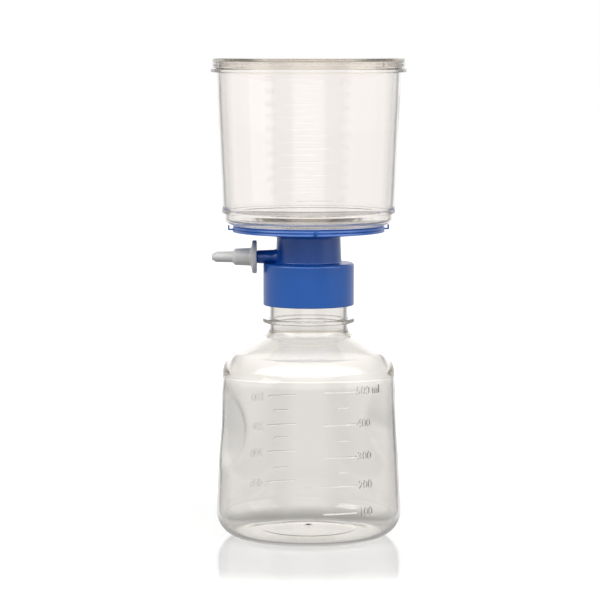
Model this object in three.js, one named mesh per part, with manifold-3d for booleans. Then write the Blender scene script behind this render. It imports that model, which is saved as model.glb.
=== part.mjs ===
// Vacuum filtration unit: a clear filter chamber with a lid, on a blue support moulding that screws
// on to a clear receiver bottle, with a vacuum side arm and its push-on tubing adapter.
// Millimetres, +Z up, origin at the centre of the bottle's foot. The side arm points along -X.
import * as THREE from 'three';
import { mergeVertices } from 'three/addons/utils/BufferGeometryUtils.js';
import Module from 'manifold-3d';

const wasm = await Module();
wasm.setup();

// ---- driving dimensions ------------------------------------------------------------------------

const FACETS = 48; // flats round a large turned form
const SMALL_FACETS = 24; // flats round the adapter and the arm
const SEAT_GAP = 0.25; // left between pieces that bear on each other

// receiver bottle
const BOTTLE_BASE_R = 51.1; // where the leaning wall would meet the floor
const BOTTLE_SHOULDER_R = 46.5; // where the leaning wall would meet the shoulder's cone
const SHOULDER_HEIGHT = 97.3; // of that same edge
const SHOULDER_SLOPE = THREE.MathUtils.degToRad(30);
const SHOULDER_ARC_R = 12;
const SHOULDER_ROOM_ARC_R = 16; // the shoulder is thick inside its corner
const SHOULDER_WALL = 3;
const HEEL_ARC_R = 14;
const FOOT_WIDTH = 2.2;
const PUSH_UP = 4;
const BOTTLE_WALL = 1.7;
const GRIP_HEIGHT = 62.6; // centre of the thumb grips
const GRIP_R = 20.7;
const GRIP_TURN = THREE.MathUtils.degToRad(20); // of the first grip from -X towards -Y
const NECK_ARC_R = 4;
const NECK_R = 21.4;
const NECK_WALL = 2;
const NECK_BELOW_RING = 3.4;
const NECK_RING_R = 24.95;
const NECK_RING_THICKNESS = 2.2;
const NECK_RING_EDGE = 0.5;
const FINISH_HEIGHT = 26.5; // neck ring to lip
const LIP_EDGE = 0.5;

// screw thread between bottle and collar
const THREAD_PITCH = 4;
const THREAD_DEPTH = 1;
const THREAD_BASE_WIDTH = 2;
const THREAD_CREST_WIDTH = 0.9;
const THREAD_CLEARANCE = 0.4;
const THREAD_LEAD = 1.8; // lip to the middle of the neck's last turn
const NECK_THREAD_TURNS = 2;
const COLLAR_THREAD_TURNS = 1.75;
const THREAD_FADE = 1 / 12; // of a turn, at each end
const THREAD_STEPS = 24; // in a turn
const THREAD_ROOT = 0.3; // how far a thread is sunk into its wall

// neck gasket
const GASKET_THICKNESS = 1.2;
const GASKET_BORE_R = 19;
const GASKET_R = 22.3;

// support base: collar, stem and plate
const COLLAR_WALL = 1.9;
const COLLAR_HEIGHT = 23;
const COLLAR_ROOF = 2;
const COLLAR_CORNER_R = 1.2;
const COLLAR_LEAD_IN = 0.7;
const STEM_LENGTH = 14.6;
const STEM_BOTTOM_R = 17.9;
const STEM_TOP_R = 17.3;
const STEM_WALL = 2;
const PLATE_R = 41.4;
const PLATE_RIM_R = 41; // above the step in the plate's edge
const PLATE_THICKNESS = 4.2;
const PLATE_STEP = 2.1; // underside to the step
const PLATE_EDGE_WIDTH = 1.6;
const PLATE_EDGE_HEIGHT = 0.9;
const PLATE_CONE_DROP = 2.2;
const HOOK_COUNT = 4; // small hooks on the plate's edge
const HOOK_R = 43.9;
const HOOK_TURN = 4.9; // degrees
const HOOK_WIDTH = 1.5;
const HOOK_THICKNESS = 0.8;
const HOOK_LIFT = 1.2; // hook above the plate's underside
const HOOK_HEIGHT = 2.7;
const CHANNEL_DEPTH = 1;
const FUNNEL_DROP = 1.2;
const WEB_THICKNESS = 1.8;
const DRAIN_R = 3;
const SPOUT_WALL = 1.5;
const SPOUT_LENGTH = 16.5;
const RIB_COUNT = 24;
const RIB_THICKNESS = 1.2;
const LONG_RIB_START_R = 8;
const SHORT_RIB_START_R = 20;

// side arm
const ARM_HEIGHT = 3.2; // axis above the collar's top
const ARM_TIP_R = 3.55;
const ARM_ROOT_R = 3.9;
const ARM_SHOULDER_X = 28; // where the arm steps down into the adapter
const ARM_SPIGOT_R = 3.1;
const ARM_SPIGOT_LENGTH = 9;
const ARM_BORE_R = 1.75;
const PLUG_R = 2.1;
const PLUG_LENGTH = 6.5;
const PLUG_FIT = 0.3;

// tubing adapter
const ADAPTER_FIT = 0.3;
const ADAPTER_FLANGE_R = 9;
const ADAPTER_FLANGE_RIM = 2.4;
const ADAPTER_FLANGE_ROOT = 3.1;
const ADAPTER_BODY_R = 4.85;
const ADAPTER_BODY_END_R = 4.5;
const ADAPTER_BODY_LENGTH = 11.8;
const ADAPTER_STEP_LENGTH = 1.4;
const NOZZLE_R = 3.05;
const NOZZLE_END_R = 2.85;
const NOZZLE_LENGTH = 9;
const NOSE_LENGTH = 2.3;
const NOSE_TIP_R = 1.5;
const NOZZLE_BORE_R = 1;

// membrane
const MEMBRANE_R = 39.3;
const MEMBRANE_THICKNESS = 0.4;
const MEMBRANE_FIT = 0.3;
const MEMBRANE_LAND = 2.5; // width of the flat ring under its rim
const MEMBRANE_CLAMP = 1.8; // width of the chamber's floor over its rim

// upper chamber
const CHAMBER_HEIGHT = 88.25; // foot to lip
const CHAMBER_WALL = 1.9;
const CHAMBER_BOTTOM_R = 46.85;
const CHAMBER_TOP_R = 50.1;
const CHAMBER_FLOOR = 1.9;
const FOOT_R = 45.6;
const FOOT_HEIGHT = 6.1;
const FOOT_CORNER_R = 3.5;
const FOOT_LEDGE = 1.3; // step inside the wall, above the bead's underside
const BEAD_R = 47.2;
const BEAD_HEIGHT = 3;
const RIM_R = 53.1;
const RIM_THICKNESS = 2;
const RIM_DROP = 3.9; // lip to rim
const CHAMBER_LIP_R = 50.2;

// lid
const LID_THICKNESS = 1.5;
const LID_WALL = 1.35;
const LID_FIT = 0.5;
const LID_BEAD = 0.4;
const LID_BEAD_DROP = 3.5; // from the lid's top to the bead's middle
const LID_EDGE_R = 0.9;
const LID_RIB_COUNT = 15;
const LID_RIB_WIDTH = 1;
const LID_RIB_DEPTH = 0.25;
const LID_RIB_TURN = THREE.MathUtils.degToRad(3.5);

// ---- stack heights that follow -----------------------------------------------------------------

const wallLean = Math.atan((BOTTLE_BASE_R - BOTTLE_SHOULDER_R) / SHOULDER_HEIGHT);
const heelCentreR = bottleWallR(HEEL_ARC_R) - HEEL_ARC_R / Math.cos(wallLean);
const neckStart = shoulderZ(NECK_R + NECK_ARC_R, -NECK_ARC_R);
const neckRingBottom = neckStart + NECK_BELOW_RING;
const neckRingTop = neckRingBottom + NECK_RING_THICKNESS;
const lipTop = neckRingTop + FINISH_HEIGHT;
const threadTop = lipTop - THREAD_LEAD;

const collarBoreR = NECK_R + THREAD_DEPTH + THREAD_CLEARANCE;
const collarR = collarBoreR + COLLAR_WALL;
const gasketBottom = lipTop + SEAT_GAP;
const collarRoof = gasketBottom + GASKET_THICKNESS + SEAT_GAP;
const collarTop = collarRoof + COLLAR_ROOF;
const collarBottom = collarTop - COLLAR_HEIGHT;
const coneBottom = collarTop + STEM_LENGTH;
const plateBottom = coneBottom + PLATE_CONE_DROP;
const plateTop = plateBottom + PLATE_THICKNESS;

const armZ = collarTop + ARM_HEIGHT;
const spigotX = ARM_SHOULDER_X + ARM_SPIGOT_LENGTH;
const plugBoreR = PLUG_R + PLUG_FIT;

const membraneBottom = plateTop - SEAT_GAP - MEMBRANE_THICKNESS;
const channelR = MEMBRANE_R - MEMBRANE_LAND;
const ribTop = membraneBottom - SEAT_GAP;
const channelRimZ = ribTop - CHANNEL_DEPTH;
const channelCentreZ = channelRimZ - FUNNEL_DROP;
const cavityRoof = channelCentreZ - WEB_THICKNESS;

const chamberBottom = plateTop + SEAT_GAP;
const chamberTop = chamberBottom + CHAMBER_HEIGHT;
const beadBottom = chamberBottom + FOOT_HEIGHT;
const beadTop = beadBottom + BEAD_HEIGHT;
const rimTop = chamberTop - RIM_DROP;
const rimBottom = rimTop - RIM_THICKNESS;

const lidUnderside = chamberTop + SEAT_GAP;
const lidTop = lidUnderside + LID_THICKNESS;
const skirtBottom = rimTop + SEAT_GAP;
const skirtBoreR = CHAMBER_LIP_R + LID_FIT;
const lidR = skirtBoreR + LID_WALL;

// ---- helpers -----------------------------------------------------------------------------------

function arc(centreR, centreZ, radius, from, to, steps) {
  return Array.from({ length: steps + 1 }, (_, i) => {
    const angle = from + ((to - from) * i) / steps;
    return [centreR + radius * Math.cos(angle), centreZ + radius * Math.sin(angle)];
  });
}

// A form turned about +Z from [radius, height] points that start and end on the axis.
function turned(points, facets = FACETS) {
  const profile = points.map(([r, z]) => new THREE.Vector2(Math.max(r, 0), z));
  return new THREE.LatheGeometry(profile, facets).rotateX(Math.PI / 2);
}

// The same for a ring, whose points close on themselves.
function turnedRing(points, facets = FACETS) {
  return turned([...points, points[0]], facets);
}

function signedVolume(position, index) {
  const [a, b, c] = [new THREE.Vector3(), new THREE.Vector3(), new THREE.Vector3()];
  let volume = 0;
  for (let i = 0; i < index.length; i += 3) {
    a.fromArray(position, 3 * index[i]);
    b.fromArray(position, 3 * index[i + 1]);
    c.fromArray(position, 3 * index[i + 2]);
    volume += a.dot(b.cross(c)) / 6;
  }
  return volume;
}

function toSolid(geometry) {
  const bare = new THREE.BufferGeometry();
  bare.setAttribute('position', geometry.getAttribute('position'));
  bare.setIndex(geometry.getIndex());
  const merged = mergeVertices(bare, 1e-4);
  const position = merged.getAttribute('position').array;
  const index = merged.getIndex().array;
  const faces = [];
  for (let i = 0; i < index.length; i += 3) {
    const [p, q, r] = [index[i], index[i + 1], index[i + 2]];
    if (p !== q && q !== r && r !== p) faces.push([p, q, r]);
  }
  const inward = signedVolume(position, faces.flat()) < 0;
  const triVerts = Uint32Array.from(faces.flatMap(([p, q, r]) => (inward ? [p, r, q] : [p, q, r])));
  const vertProperties = Float32Array.from(position);
  return new wasm.Manifold(new wasm.Mesh({ numProp: 3, vertProperties, triVerts }));
}

function toGeometry(solid) {
  const mesh = solid.getMesh();
  const geometry = new THREE.BufferGeometry();
  geometry.setAttribute('position', new THREE.BufferAttribute(Float32Array.from(mesh.vertProperties), 3));
  geometry.setIndex(new THREE.BufferAttribute(Uint32Array.from(mesh.triVerts), 1));
  geometry.computeVertexNormals();
  return geometry;
}

// One helical ridge from wallR to crestR: outward on a neck, inward in a collar. It starts at angle
// `start` with its middle at height z, rises one pitch a turn, and fades into the wall at both ends.
function threadRidge(wallR, crestR, z, start, turns) {
  const rootR = wallR - Math.sign(crestR - wallR) * THREAD_ROOT;
  const sunkR = (rootR + wallR) / 2;
  const steps = Math.round(turns * THREAD_STEPS);
  const positions = [];
  const index = [];
  for (let i = 0; i <= steps; i++) {
    const turn = (turns * i) / steps;
    const height = Math.min(1, turn / THREAD_FADE, (turns - turn) / THREAD_FADE);
    const crest = sunkR + (crestR - sunkR) * height;
    const angle = start + 2 * Math.PI * turn;
    const middle = z + THREAD_PITCH * turn;
    const section = [
      [rootR, -THREAD_BASE_WIDTH / 2],
      [crest, -THREAD_CREST_WIDTH / 2],
      [crest, THREAD_CREST_WIDTH / 2],
      [rootR, THREAD_BASE_WIDTH / 2],
    ];
    for (const [r, dz] of section) {
      positions.push(r * Math.cos(angle), r * Math.sin(angle), middle + dz);
    }
    if (i === steps) break;
    for (let j = 0; j < 4; j++) {
      const [a, b] = [4 * i + j, 4 * i + ((j + 1) % 4)];
      index.push(a, b, b + 4, a, b + 4, a + 4);
    }
  }
  const last = 4 * steps;
  index.push(0, 2, 1, 0, 3, 2, last, last + 1, last + 2, last, last + 2, last + 3);
  const geometry = new THREE.BufferGeometry();
  geometry.setAttribute('position', new THREE.Float32BufferAttribute(positions, 3));
  geometry.setIndex(index);
  return toSolid(geometry);
}

// ---- receiver bottle ---------------------------------------------------------------------------

function bottleWallR(z) {
  return BOTTLE_BASE_R - Math.tan(wallLean) * z;
}

// Height of the shoulder's cone at a radius, for a surface set in from the outside.
function shoulderZ(r, inset) {
  const rise = (BOTTLE_SHOULDER_R - r) * Math.tan(SHOULDER_SLOPE);
  return SHOULDER_HEIGHT + rise - inset / Math.cos(SHOULDER_SLOPE);
}

// Centre of the arc that rounds the corner between wall and cone.
function shoulderArcCentre(radius, wallInset, coneInset) {
  const reach = BOTTLE_BASE_R - (radius + wallInset) / Math.cos(wallLean);
  const z = shoulderZ(reach, radius + coneInset) / (1 - Math.tan(SHOULDER_SLOPE) * Math.tan(wallLean));
  return { r: reach - Math.tan(wallLean) * z, z };
}

// Half section of the body from the middle of its base to the neck, set in from the outside.
function bottleSection(neckR, wallInset, coneInset, shoulderArcR, neckArcR) {
  const footInnerR = heelCentreR - FOOT_WIDTH;
  const shoulder = shoulderArcCentre(shoulderArcR, wallInset, coneInset);
  const neckArcCentreR = neckR + neckArcR;
  const neckArcZ = shoulderZ(neckArcCentreR, coneInset - neckArcR);
  const square = Math.PI / 2 - SHOULDER_SLOPE;
  const base = [0, 0.5, 1].map((t) => [footInnerR * t, PUSH_UP * (1 - t ** 2) + wallInset]);
  return [
    ...base,
    ...arc(heelCentreR, HEEL_ARC_R, HEEL_ARC_R - wallInset, -Math.PI / 2, wallLean, 6),
    ...arc(shoulder.r, shoulder.z, shoulderArcR, wallLean, square, 5),
    ...arc(neckArcCentreR, neckArcZ, neckArcR, square - Math.PI, -Math.PI, 3),
  ];
}

// A drum lying across the wall at each thumb grip: it takes a round, level-floored bite.
function gripDrums(inset) {
  const wallR = bottleWallR(GRIP_HEIGHT);
  const depth = wallR - Math.sqrt(wallR ** 2 - GRIP_R ** 2);
  const drumR = GRIP_R ** 2 / (2 * depth);
  const drum = new THREE.CylinderGeometry(drumR + inset, drumR + inset, 3 * GRIP_R, 60);
  drum.rotateZ(Math.PI / 2).rotateX(Math.PI / 60);
  drum.translate(0, wallR - depth + drumR, GRIP_HEIGHT);
  const first = drum.clone().rotateZ(Math.PI / 2 + GRIP_TURN);
  const second = drum.rotateZ(-Math.PI / 2 + GRIP_TURN);
  return toSolid(first).add(toSolid(second));
}

function receiverBottle() {
  const boreR = NECK_R - NECK_WALL;
  const innerNeckArcR = NECK_ARC_R + SHOULDER_WALL;
  const outside = turned([
    ...bottleSection(NECK_R, 0, 0, SHOULDER_ARC_R, NECK_ARC_R),
    [NECK_R, neckRingBottom],
    [NECK_RING_R - NECK_RING_EDGE, neckRingBottom],
    [NECK_RING_R, neckRingBottom + NECK_RING_EDGE],
    [NECK_RING_R, neckRingTop - NECK_RING_EDGE],
    [NECK_RING_R - NECK_RING_EDGE, neckRingTop],
    [NECK_R, neckRingTop],
    [NECK_R, lipTop - LIP_EDGE],
    [NECK_R - LIP_EDGE, lipTop],
    [0, lipTop],
  ]);
  const inside = turned([
    ...bottleSection(boreR, BOTTLE_WALL, SHOULDER_WALL, SHOULDER_ROOM_ARC_R, innerNeckArcR),
    [boreR, lipTop - LIP_EDGE],
    [boreR + LIP_EDGE, lipTop],
    [boreR + LIP_EDGE, lipTop + 1],
    [0, lipTop + 1],
  ]);
  const threadBottom = threadTop - THREAD_PITCH * NECK_THREAD_TURNS;
  const thread = threadRidge(NECK_R, NECK_R + THREAD_DEPTH, threadBottom, 0, NECK_THREAD_TURNS);
  const shell = toSolid(outside).subtract(gripDrums(0));
  const room = toSolid(inside).subtract(gripDrums(BOTTLE_WALL));
  return toGeometry(shell.subtract(room).add(thread));
}

// ---- neck gasket -------------------------------------------------------------------------------

function neckGasket() {
  return turnedRing([
    [GASKET_BORE_R, gasketBottom],
    [GASKET_R, gasketBottom],
    [GASKET_R, gasketBottom + GASKET_THICKNESS],
    [GASKET_BORE_R, gasketBottom + GASKET_THICKNESS],
  ]);
}

// ---- support base ------------------------------------------------------------------------------

function supportBody() {
  const spoutR = DRAIN_R + SPOUT_WALL;
  const spoutBottom = cavityRoof - SPOUT_LENGTH;
  const recessR = MEMBRANE_R + MEMBRANE_FIT;
  return turnedRing([
    [DRAIN_R, spoutBottom],
    [spoutR, spoutBottom],
    [spoutR, cavityRoof],
    [STEM_TOP_R - STEM_WALL, cavityRoof],
    [STEM_BOTTOM_R - STEM_WALL, collarRoof],
    [collarBoreR, collarRoof],
    [collarBoreR, collarBottom + COLLAR_LEAD_IN],
    [collarBoreR + COLLAR_LEAD_IN, collarBottom],
    [collarR - COLLAR_LEAD_IN / 2, collarBottom],
    [collarR, collarBottom + COLLAR_LEAD_IN / 2],
    ...arc(collarR - COLLAR_CORNER_R, collarTop - COLLAR_CORNER_R, COLLAR_CORNER_R, 0, Math.PI / 2, 3),
    [STEM_BOTTOM_R, collarTop],
    [STEM_TOP_R, coneBottom],
    [PLATE_R - PLATE_EDGE_WIDTH, plateBottom],
    [PLATE_R, plateBottom + PLATE_EDGE_HEIGHT],
    [PLATE_R, plateBottom + PLATE_STEP],
    [PLATE_RIM_R, plateBottom + PLATE_STEP],
    [PLATE_RIM_R, plateTop],
    [recessR, plateTop],
    [recessR, ribTop],
    [channelR, ribTop],
    [channelR, channelRimZ],
    [DRAIN_R, channelCentreZ],
  ]);
}

// Radial ribs, long and short in turn, that carry the membrane over the drain channels.
function supportRibs() {
  const bottom = channelCentreZ - WEB_THICKNESS / 4;
  const endR = (channelR + MEMBRANE_R) / 2;
  let ribs = null;
  for (let i = 0; i < RIB_COUNT; i++) {
    const startR = i % 2 === 0 ? LONG_RIB_START_R : SHORT_RIB_START_R;
    const rib = new THREE.BoxGeometry(endR - startR, RIB_THICKNESS, ribTop - bottom);
    rib.translate((startR + endR) / 2, 0, (ribTop + bottom) / 2);
    rib.rotateZ((2 * Math.PI * i) / RIB_COUNT);
    const solid = toSolid(rib);
    ribs = ribs ? ribs.add(solid) : solid;
  }
  return ribs;
}

// Small L-shaped hooks standing out from the plate's edge, with their ends turned up.
function plateHooks() {
  const rootR = PLATE_R - HOOK_THICKNESS;
  const hookBottom = plateBottom + HOOK_LIFT;
  const foot = new THREE.BoxGeometry(HOOK_R - rootR, HOOK_WIDTH, HOOK_THICKNESS);
  foot.translate((HOOK_R + rootR) / 2, 0, hookBottom + HOOK_THICKNESS / 2);
  const end = new THREE.BoxGeometry(HOOK_THICKNESS, HOOK_WIDTH, HOOK_HEIGHT);
  end.translate(HOOK_R - HOOK_THICKNESS / 2, 0, hookBottom + HOOK_HEIGHT / 2);
  const hook = toSolid(foot).add(toSolid(end));
  const turns = Array.from({ length: HOOK_COUNT }, (_, i) => HOOK_TURN + (360 * i) / HOOK_COUNT);
  return turns.map((turn) => hook.rotate([0, 0, turn])).reduce((a, b) => a.add(b));
}

// Turns a form about -X through the side arm's axis, from [radius, distance from the stem's axis].
function turnedOnArm(points) {
  return turned(points, SMALL_FACETS).rotateY(-Math.PI / 2).translate(0, 0, armZ);
}

function sideArm() {
  const tipEdge = ARM_SPIGOT_R / 8;
  return turnedOnArm([
    [0, STEM_TOP_R - STEM_WALL / 2],
    [ARM_ROOT_R, STEM_TOP_R - STEM_WALL / 2],
    [ARM_TIP_R, ARM_SHOULDER_X],
    [ARM_SPIGOT_R, ARM_SHOULDER_X],
    [ARM_SPIGOT_R, spigotX - tipEdge],
    [ARM_SPIGOT_R - tipEdge, spigotX],
    [0, spigotX],
  ]);
}

function armPassage() {
  const plugSeat = spigotX - PLUG_LENGTH - 2 * PLUG_FIT;
  return turnedOnArm([
    [0, STEM_TOP_R - 2 * STEM_WALL],
    [ARM_BORE_R, STEM_TOP_R - 2 * STEM_WALL],
    [ARM_BORE_R, plugSeat],
    [plugBoreR, plugSeat],
    [plugBoreR, spigotX + 1],
    [0, spigotX + 1],
  ]);
}

function supportBase() {
  const threadBottom = threadTop - THREAD_PITCH * NECK_THREAD_TURNS;
  const crestR = NECK_R + THREAD_CLEARANCE;
  const thread = threadRidge(collarBoreR, crestR, threadBottom, Math.PI, COLLAR_THREAD_TURNS);
  const body = toSolid(supportBody()).add(supportRibs()).add(plateHooks()).add(thread);
  return toGeometry(body.add(toSolid(sideArm())).subtract(toSolid(armPassage())));
}

// ---- port plug and tubing adapter --------------------------------------------------------------

function portPlug() {
  const tip = spigotX - PLUG_FIT;
  return turnedOnArm([
    [0, tip - PLUG_LENGTH],
    [PLUG_R, tip - PLUG_LENGTH],
    [PLUG_R, tip],
    [0, tip],
  ]);
}

function tubingAdapter() {
  const socketR = ARM_SPIGOT_R + ADAPTER_FIT;
  const faceX = ARM_SHOULDER_X + SEAT_GAP;
  const flangeX = faceX + ADAPTER_FLANGE_ROOT;
  const bodyX = faceX + ADAPTER_BODY_LENGTH;
  const nozzleX = bodyX + ADAPTER_STEP_LENGTH;
  const noseX = nozzleX + NOZZLE_LENGTH;
  const socketX = spigotX + SEAT_GAP;
  const profile = [
    [socketR, faceX],
    [ADAPTER_FLANGE_R, faceX],
    [ADAPTER_FLANGE_R, faceX + ADAPTER_FLANGE_RIM],
    [ADAPTER_BODY_R, flangeX],
    [ADAPTER_BODY_END_R, bodyX],
    [NOZZLE_R, nozzleX],
    [NOZZLE_END_R, noseX],
    [NOSE_TIP_R, noseX + NOSE_LENGTH],
    [NOZZLE_BORE_R, noseX + NOSE_LENGTH],
    [NOZZLE_BORE_R, socketX],
    [socketR, socketX],
  ];
  return turnedOnArm([...profile, profile[0]]);
}

// ---- membrane ----------------------------------------------------------------------------------

function membrane() {
  return turned([
    [0, membraneBottom],
    [MEMBRANE_R, membraneBottom],
    [MEMBRANE_R, membraneBottom + MEMBRANE_THICKNESS],
    [0, membraneBottom + MEMBRANE_THICKNESS],
  ]);
}

// ---- upper chamber -----------------------------------------------------------------------------

function chamberWallR(z) {
  const along = (z - beadTop) / (rimBottom - beadTop);
  return CHAMBER_BOTTOM_R + (CHAMBER_TOP_R - CHAMBER_BOTTOM_R) * along;
}

function upperChamber() {
  const openingR = MEMBRANE_R - MEMBRANE_CLAMP;
  const cornerCentreR = FOOT_R - FOOT_CORNER_R;
  const cornerCentreZ = chamberBottom + FOOT_CORNER_R;
  const innerCornerR = FOOT_CORNER_R - CHAMBER_FLOOR;
  const ledgeZ = beadBottom + FOOT_LEDGE;
  return turnedRing([
    [openingR, chamberBottom],
    ...arc(cornerCentreR, cornerCentreZ, FOOT_CORNER_R, -Math.PI / 2, 0, 4),
    [FOOT_R, beadBottom],
    [BEAD_R, beadBottom],
    [BEAD_R, (beadBottom + beadTop) / 2],
    [chamberWallR(beadTop), beadTop],
    [chamberWallR(rimBottom), rimBottom],
    [RIM_R, rimBottom],
    [RIM_R, rimTop],
    [CHAMBER_LIP_R, rimTop],
    [CHAMBER_LIP_R, chamberTop],
    [chamberWallR(chamberTop) - CHAMBER_WALL, chamberTop],
    [chamberWallR(ledgeZ) - CHAMBER_WALL, ledgeZ],
    [cornerCentreR + innerCornerR, ledgeZ],
    ...arc(cornerCentreR, cornerCentreZ, innerCornerR, 0, -Math.PI / 2, 3),
    [openingR, chamberBottom + CHAMBER_FLOOR],
  ]);
}

// ---- lid ---------------------------------------------------------------------------------------

function lidShell() {
  const beadZ = lidTop - LID_BEAD_DROP;
  return turned([
    [0, lidUnderside],
    [skirtBoreR, lidUnderside],
    [skirtBoreR, skirtBottom],
    [lidR, skirtBottom],
    [lidR, beadZ - 2 * LID_BEAD],
    [lidR + LID_BEAD, beadZ - LID_BEAD],
    [lidR + LID_BEAD, beadZ + LID_BEAD],
    [lidR, beadZ + 2 * LID_BEAD],
    ...arc(lidR - LID_EDGE_R, lidTop - LID_EDGE_R, LID_EDGE_R, 0, Math.PI / 2, 3),
    [0, lidTop],
  ]);
}

// Small stand-off ribs inside the skirt, which let air in round the chamber's lip.
function lid() {
  const depth = LID_RIB_DEPTH + LID_WALL / 2;
  const top = lidUnderside + LID_THICKNESS / 2;
  const rib = new THREE.BoxGeometry(LID_RIB_WIDTH, depth, top - skirtBottom);
  rib.translate(0, LID_RIB_DEPTH - depth / 2 - skirtBoreR, (top + skirtBottom) / 2);
  let shell = toSolid(lidShell());
  for (let i = 0; i < LID_RIB_COUNT; i++) {
    const angle = LID_RIB_TURN + (2 * Math.PI * i) / LID_RIB_COUNT;
    shell = shell.add(toSolid(rib.clone().rotateZ(angle)));
  }
  return toGeometry(shell);
}

// ---- materials and assembly --------------------------------------------------------------------

function clearPlastic() {
  return new THREE.MeshStandardMaterial({
    color: '#eeeae4', roughness: 0.08, metalness: 0, transparent: true, opacity: 0.3,
  });
}

function opaque(color, roughness) {
  return new THREE.MeshStandardMaterial({ color, roughness, metalness: 0 });
}

function piece(name, geometry, material) {
  const mesh = new THREE.Mesh(geometry, material);
  mesh.name = name;
  return mesh;
}

const unit = new THREE.Group();
unit.add(
  piece('receiver_bottle', receiverBottle(), clearPlastic()),
  piece('neck_gasket', neckGasket(), opaque('#e9e9e6', 0.6)),
  piece('support_base', supportBase(), opaque('#2b5cab', 0.35)),
  piece('port_plug', portPlug(), opaque('#f3f1ec', 0.95)),
  piece('tubing_adapter', tubingAdapter(), opaque('#cfd1cf', 0.45)),
  piece('membrane', membrane(), opaque('#f7f7f5', 0.9)),
  piece('upper_chamber', upperChamber(), clearPlastic()),
  piece('lid', lid(), clearPlastic()),
);

export default unit;
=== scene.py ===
"""Looks of the vacuum filtration unit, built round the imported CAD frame.

Sizes are in millimetres and angles in degrees, both as on the CAD part. MM turns them into metres
when a mesh is made. An azimuth is counted from the front, -Y, towards +X.
"""

import math

import bmesh
import bpy
import numpy as np
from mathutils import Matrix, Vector

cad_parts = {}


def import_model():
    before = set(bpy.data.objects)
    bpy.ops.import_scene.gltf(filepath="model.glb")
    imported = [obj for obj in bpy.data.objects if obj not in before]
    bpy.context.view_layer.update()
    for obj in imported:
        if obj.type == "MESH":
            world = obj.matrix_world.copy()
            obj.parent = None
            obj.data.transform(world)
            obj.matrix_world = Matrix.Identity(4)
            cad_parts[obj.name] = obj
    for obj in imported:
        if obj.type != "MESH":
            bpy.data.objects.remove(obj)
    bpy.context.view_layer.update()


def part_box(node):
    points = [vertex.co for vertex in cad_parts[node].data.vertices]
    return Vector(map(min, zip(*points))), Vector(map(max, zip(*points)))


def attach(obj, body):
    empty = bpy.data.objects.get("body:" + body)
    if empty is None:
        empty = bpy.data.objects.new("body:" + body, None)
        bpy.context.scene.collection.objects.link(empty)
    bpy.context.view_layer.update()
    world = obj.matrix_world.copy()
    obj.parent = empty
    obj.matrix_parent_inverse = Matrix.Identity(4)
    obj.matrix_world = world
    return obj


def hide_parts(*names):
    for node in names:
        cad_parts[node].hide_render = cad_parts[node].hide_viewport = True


MM = 0.001

# ---- sizes that the frame doesn't give ---------------------------------------------------------

BODY_SEGMENTS = 192
LID_SEGMENTS = 360
SMALL_SEGMENTS = 96
PLUG_SEGMENTS = 48
SMOOTH_ANGLE = 32

BOTTLE_BASE_R = 51.1
BOTTLE_SHOULDER_R = 46.5
SHOULDER_HEIGHT = 97.3
SHOULDER_SLOPE = math.radians(30)
SHOULDER_ARC_R = 12.0
SHOULDER_ROOM_ARC_R = 16.0
SHOULDER_WALL = 3.0
HEEL_ARC_R = 14.0
FOOT_WIDTH = 2.2
PUSH_UP = 4.0
BASE_DISC_R = 25.5
BASE_DISC_STEP = 0.2
BASE_STEP_WIDTH = 0.6
GATE_R = 1.6
GATE_HEIGHT = 1.0
BOTTLE_WALL = 1.7
WALL_ROW = 1.5
GRIP_HEIGHT = 62.6
GRIP_R = 20.7
GRIP_AZIMUTHS = (-70.0, 110.0)
GRIP_SOFTNESS = 0.55
NECK_ARC_R = 4.0
NECK_R = 21.4
NECK_WALL = 2.0
NECK_RING_R = 24.95
NECK_RING_THICKNESS = 2.2
FINISH_HEIGHT = 26.5
GASKET_BORE_R = 19.0

THREAD_PITCH = 4.0
THREAD_DEPTH = 1.0
THREAD_BASE_WIDTH = 2.0
THREAD_CREST_WIDTH = 0.9
THREAD_CLEARANCE = 0.4
THREAD_LEAD = 1.8
NECK_THREAD_TURNS = 2.0
COLLAR_THREAD_TURNS = 1.75
THREAD_FADE = 1 / 12
THREAD_ROW = 0.35

COLLAR_HEIGHT = 23.0
COLLAR_ROOF = 2.0
COLLAR_WALL = 1.9
COLLAR_LEAD_IN = 0.7
STEM_LENGTH = 14.6
STEM_BOTTOM_R = 17.9
STEM_TOP_R = 17.3
STEM_WALL = 2.0
PLATE_R = 41.4
PLATE_THICKNESS = 4.2
PLATE_EDGE_WIDTH = 1.6
# Ridges round the plate's edge: crest radius, foot radius, height over the lower face, width.
PLATE_RIDGES = [
    (PLATE_R, PLATE_R - 0.6, 0.3, 1.0),
    (PLATE_R, PLATE_R - 0.6, 2.0, 1.1),
    (40.9, 40.5, 3.5, 0.65),
]
PLATE_RIDGE_LEAN = 0.26
PLATE_RIDGE_FOOT = 0.15
HOOK_COUNT = 4
HOOK_TURN = 4.9
HOOK_WIDTH = 1.5
HOOK_THICKNESS = 0.8
HOOK_LIFT = 1.2
HOOK_HEIGHT = 2.7
MEMBRANE_FIT = 0.3
MEMBRANE_LAND = 2.5
SEAT_GAP = 0.25
CHANNEL_DEPTH = 1.0
FUNNEL_DROP = 1.2
WEB_THICKNESS = 1.8
DRAIN_R = 3.0
SPOUT_WALL = 1.5
SPOUT_LENGTH = 16.5
RIB_COUNT = 24
RIB_THICKNESS = 1.2
LONG_RIB_START_R = 8.0
SHORT_RIB_START_R = 20.0

ARM_TIP_R = 3.55
ARM_ROOT_R = 3.9
ARM_SHOULDER_X = 28.0
ARM_SPIGOT_R = 3.1
ARM_SPIGOT_LENGTH = 9.0
ARM_BORE_R = 1.75
ARM_FLARE = 0.9
ARM_FLARE_LENGTH = 1.6
PLUG_FIT = 0.3

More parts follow.
